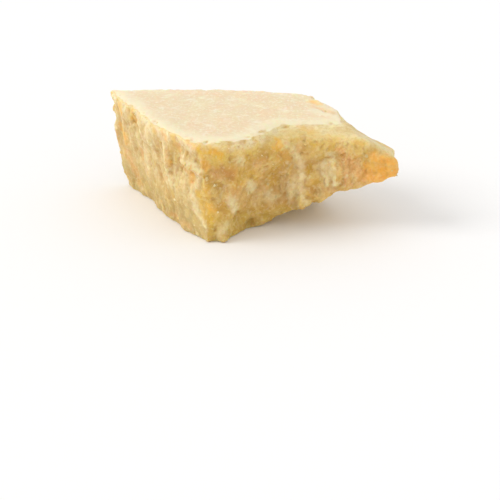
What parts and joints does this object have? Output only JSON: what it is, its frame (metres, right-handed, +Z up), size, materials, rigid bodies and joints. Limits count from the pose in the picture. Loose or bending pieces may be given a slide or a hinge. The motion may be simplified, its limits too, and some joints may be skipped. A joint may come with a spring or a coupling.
{
  "type": "parmesan chunk",
  "caption": "Hand-broken chunk of hard aged cheese with a smooth top, crumbly broken sides, a sloping shoulder and a thin overhanging tip, resting on a flat base.",
  "frame": {"origin": "on the table, under the middle of the chunk's bounding box", "axes": "+Z up from the flat base, +X along the length towards the thin tip, -Y towards the side with the front corner"},
  "size_m": [0.0862, 0.0488, 0.0312],
  "materials": {
    "cheese": "waxy, crumbly"
  },
  "bodies": {
    "root": {"parmesan_chunk": "cheese"}
  },
  "joints": []
}
